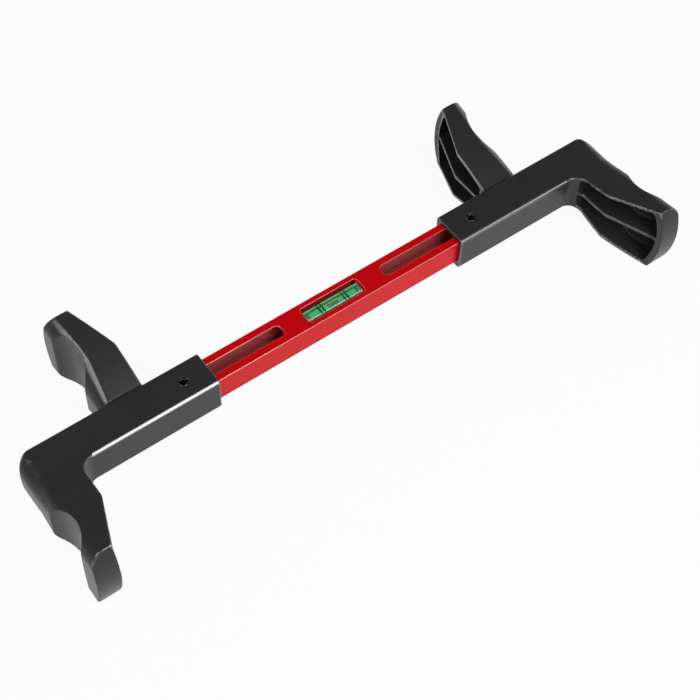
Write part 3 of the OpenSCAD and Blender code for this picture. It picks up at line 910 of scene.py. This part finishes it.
def make_vial():
    """Vial block, liquid, bubble and plugs.

    The liquid keeps a gap to the barrel bore all round. The bubble is a straight rod with half balls on its
    ends, and the plugs are short rods with eased edges.
    """
    xs = ruler(VIAL_MIDDLE_X, *both_ways(VIAL_ENDS_X))
    block = mesh_of("vial_block", *skin(vial_field, xs, ruler(VIAL_GRID_Y), ruler(VIAL_GRID_Z)))
    dress(block, "bar", "vial_clear", vial_clear(), "vial_body")
    bore_half = VIAL_L / 2 - VIAL_PLUG_L
    t = np.linspace(-1, 1, PROFILE_POINTS)
    radius = BORE_D / 2 - LIQUID_GAP - t * t * (BORE_D - BARREL_END_D) / 2
    liquid = turned("vial_liquid", t * (bore_half - LIQUID_END), radius, LIQUID_SIDES, VIAL_AXIS)
    dress(liquid, "bar", "green_spirit", green_spirit(), "vial_fluid")
    a = np.linspace(BUBBLE_POLE, math.pi - BUBBLE_POLE, PROFILE_POINTS)
    straight = (BUBBLE_L - BUBBLE_D) / 2
    off_middle = np.sign(np.cos(a)) * (np.abs(np.cos(a)) > BUBBLE_MIDDLE)
    place = -np.cos(a) * BUBBLE_D / 2 - straight * off_middle
    bubble = turned("vial_air", place, np.sin(a) * BUBBLE_D / 2, SMALL_SIDES, BUBBLE_Z)
    dress(bubble, "bubble", "air_bubble", air_bubble(), "vial_bubble")
    plug_material = vial_plugs()
    ease_depth = np.array(PLUG_EASE_DEPTH)
    ease_r = np.array([PLUG_FLAT_R, *(PLUG_D / 2 - inwards for inwards in PLUG_EASE_IN)])
    depth = np.concatenate([ease_depth, VIAL_PLUG_L - ease_depth[::-1]])
    radius = np.concatenate([ease_r, ease_r[::-1]])
    for name, place in (("right", bore_half + depth), ("left", -(bore_half + depth)[::-1])):
        plug = turned("vial_%s_stopper" % name, place, radius, SMALL_SIDES, VIAL_AXIS)
        dress(plug, "bar", "vial_plugs", plug_material, "vial_%s_plug" % name)


def paint_nodes():
    """Finishes of the nodes that show as they are."""
    paint("vial_lines", index_ink())
    paint("vial_cradle", matt_plastic("cradle_plastic", (0.40, 0.010, 0.016), (0.52, 0.016, 0.024)))
    grey = matt_plastic("plug_plastic", (0.03, 0.03, 0.032), (0.055, 0.055, 0.06))
    paint("left_bar_plug", grey)
    paint("right_bar_plug", grey)


# Stage

FLOOR_Z = -0.0302
FLOOR_HALF = 4.0
FLOOR_OWN_WHITE = 0.93

# World: the heights between which it falls from white to a dim ceiling, and the two strengths
WORLD_RAMP = (0.02, 0.30, 1.0, 0.12)

# Camera from the fitted view: angles in degrees, lengths in units of 0.85 mm, and focus in pixels
VIEW_TURN = -38.057
VIEW_TILT = 55.15
VIEW_ROLL = 2.235
VIEW_AIM = (-11.539, -38.355, 0)
VIEW_DISTANCE = 1212.018
VIEW_UNIT = 0.85 * MM
VIEW_FOCUS = 1614.865
VIEW_PIXELS = 700
SENSOR = 36
CLIP_START = 0.01

# Lamps: name, place, aim and size in metres, and power in watts
LAMPS = (
    ("front_lamp", (0.1, -0.86, 0.52), (-0.1, 0, 0), (0.3, 0.5), 3.8),
    ("right_lamp", (0.58, -0.8, 0.49), (0.1, 0, 0), (0.5, 0.16), 0.9),
    ("left_lamp", (-0.85, 0.11, 0.89), (-0.16, 0.045, 0.02), (0.45, 0.75), 4.0),
    ("top_lamp", (0.2, -0.6, 1.25), (0.12, 0, 0), (0.5, 0.5), 5.0),
)


def stand(name, data, across, up, back, spot):
    """Puts a camera or lamp at a spot, looking away from its back direction."""
    thing = bpy.data.objects.new(name, data)
    bpy.context.scene.collection.objects.link(thing)
    placed = np.eye(4)
    placed[:3] = np.stack([across, up, back, spot], axis=1)
    thing.matrix_world = Matrix(placed.tolist())
    return thing


def make_camera():
    """Camera at the photograph's place: its direction, roll, distance and aim from the fitted view."""
    turn, tilt, roll = np.radians([VIEW_TURN, VIEW_TILT, VIEW_ROLL])
    back = np.array([math.sin(turn) * math.cos(tilt), -math.cos(turn) * math.cos(tilt), math.sin(tilt)])
    level = np.array([math.cos(turn), math.sin(turn), 0])
    upright = np.cross(back, level)
    across = level * math.cos(roll) + upright * math.sin(roll)
    up = -level * math.sin(roll) + upright * math.cos(roll)
    spot = (np.array(VIEW_AIM) + back * VIEW_DISTANCE) * VIEW_UNIT
    data = bpy.data.cameras.new("camera")
    data.sensor_width = SENSOR
    data.lens = VIEW_FOCUS / VIEW_PIXELS * SENSOR
    data.clip_start = CLIP_START
    bpy.context.scene.camera = stand("camera", data, across, up, back, spot)


def make_lamp(name, spot, aim, size, power):
    """Oblong soft lamp that faces a point."""
    data = bpy.data.lights.new(name, "AREA")
    data.shape = "RECTANGLE"
    data.size, data.size_y = size
    data.energy = power
    back = np.subtract(spot, aim)
    back /= np.linalg.norm(back)
    level = np.cross([0, 0, 1], back)
    level /= np.linalg.norm(level)
    stand(name, data, level, np.cross(back, level), back, spot)


def seen_rays(tree):
    """Share of rays that see the background: camera, glossy and transmission rays."""
    path = tree.nodes.new("ShaderNodeLightPath")
    seen = path.outputs["Is Camera Ray"]
    for name in ("Is Glossy Ray", "Is Transmission Ray"):
        either = tree.nodes.new("ShaderNodeMath")
        either.operation = "MAXIMUM"
        tree.links.new(seen, either.inputs[0])
        tree.links.new(path.outputs[name], either.inputs[1])
        seen = either.outputs[0]
    return seen


def make_floor():
    """White floor: mostly its own white to rays that see it, and lit paint for the rest, with the shadow."""
    mesh = bpy.data.meshes.new("floor")
    corners = [(x * FLOOR_HALF, y * FLOOR_HALF, FLOOR_Z) for x, y in ((-1, -1), (1, -1), (1, 1), (-1, 1))]
    mesh.from_pydata(corners, [], [(0, 1, 2, 3)])
    floor = bpy.data.objects.new("floor", mesh)
    bpy.context.scene.collection.objects.link(floor)
    material = bpy.data.materials.new("white_floor")
    material.use_nodes = True
    tree = material.node_tree
    paint_shader = tree.nodes["Principled BSDF"]
    paint_shader.inputs["Base Color"].default_value = (0.9, 0.9, 0.9, 1)
    paint_shader.inputs["Roughness"].default_value = 1.0
    paint_shader.inputs["Specular IOR Level"].default_value = 0.0
    glow = tree.nodes.new("ShaderNodeEmission")
    mixed = tree.nodes.new("ShaderNodeMixShader")
    share = tree.nodes.new("ShaderNodeMath")
    share.operation = "MULTIPLY"
    share.inputs[1].default_value = FLOOR_OWN_WHITE
    tree.links.new(seen_rays(tree), share.inputs[0])
    tree.links.new(share.outputs[0], mixed.inputs[0])
    tree.links.new(paint_shader.outputs[0], mixed.inputs[1])
    tree.links.new(glow.outputs[0], mixed.inputs[2])
    tree.links.new(mixed.outputs[0], tree.nodes["Material Output"].inputs["Surface"])
    mesh.materials.append(material)


def make_world():
    """White round the horizon, falling to a dim ceiling."""
    world = bpy.data.worlds.new("studio")
    world.use_nodes = True
    tree = world.node_tree
    way = tree.nodes.new("ShaderNodeTexCoord")
    split = tree.nodes.new("ShaderNodeSeparateXYZ")
    tree.links.new(way.outputs["Generated"], split.inputs[0])
    strength = tree.nodes.new("ShaderNodeMapRange")
    strength.interpolation_type = "SMOOTHSTEP"
    tree.links.new(split.outputs["Z"], strength.inputs[0])
    for n, number in enumerate(WORLD_RAMP):
        strength.inputs[n + 1].default_value = number
    sky = tree.nodes["Background"]
    sky.inputs["Color"].default_value = (1, 1, 1, 1)
    tree.links.new(strength.outputs[0], sky.inputs["Strength"])
    bpy.context.scene.world = world


def make_stage():
    """Camera, floor, world and lamps."""
    make_camera()
    make_floor()
    make_world()
    for lamp in LAMPS:
        make_lamp(*lamp)


make_stage()
make_bar()
make_ends()
make_pins()
make_springs()
make_vial()
paint_nodes()

bpy.context.scene.view_settings.view_transform = "Standard"
